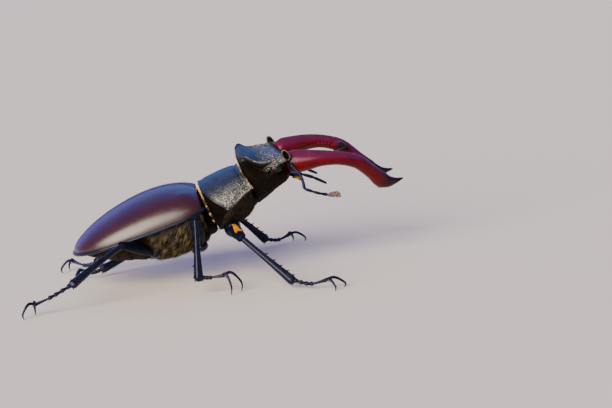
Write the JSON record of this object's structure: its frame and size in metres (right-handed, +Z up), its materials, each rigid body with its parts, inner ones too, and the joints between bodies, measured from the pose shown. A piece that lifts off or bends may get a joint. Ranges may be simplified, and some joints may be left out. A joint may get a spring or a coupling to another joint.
{
  "type": "stag beetle",
  "caption": "Large male stag beetle standing still on six legs, head up and long antler-like jaws held level, body sloping down to the rear.",
  "frame": {"origin": "on the floor, under the middle of the whole outline seen from above", "axes": "+X forward along the beetle, +Y to its left, +Z up"},
  "size_m": [0.086, 0.059, 0.029],
  "materials": {
    "wing_case": "satin-gloss dark chestnut wing case, very finely dimpled",
    "shell": "black satin shell, finely granular, with grey-gold flank down",
    "shell_under": "black-brown underside under short brown-gold hair",
    "belly": "dark brown, dull, ringed belly",
    "jaw": "glossy deep crimson jaw darkening to black at teeth and tips",
    "eye": "glossy blackish-brown eye",
    "leg": "glossy black leg and feeler",
    "club": "dull tan leaves of the feeler's club"
  },
  "bodies": {
    "root": {"abdomen": "belly", "antenna_club_left": "club", "antenna_club_right": "club", "antenna_funicle_left": "leg", "antenna_funicle_right": "leg", "antenna_scape_left": "leg", "antenna_scape_right": "leg", "coxa_front_left": "leg", "coxa_front_right": "leg", "coxa_hind_left": "leg", "coxa_hind_right": "leg", "coxa_mid_left": "leg", "coxa_mid_right": "leg", "elytron_left": "wing_case", "elytron_right": "wing_case", "eye_left": "eye", "eye_right": "eye", "femur_front_left": "leg", "femur_front_right": "leg", "femur_hind_left": "leg", "femur_hind_right": "leg", "femur_mid_left": "leg", "femur_mid_right": "leg", "head": "shell", "labial_palp_left": "leg", "labial_palp_right": "leg", "labrum": "shell", "mandible_left": "jaw", "mandible_right": "jaw", "maxillary_palp_left": "leg", "maxillary_palp_right": "leg", "prothorax": "shell", "scutellum": "shell", "tarsus_front_left": "leg", "tarsus_front_right": "leg", "tarsus_hind_left": "leg", "tarsus_hind_right": "leg", "tarsus_mid_left": "leg", "tarsus_mid_right": "leg", "thorax": "shell_under", "tibia_front_left": "leg", "tibia_front_right": "leg", "tibia_hind_left": "leg", "tibia_hind_right": "leg", "tibia_mid_left": "leg", "tibia_mid_right": "leg"}
  },
  "joints": []
}
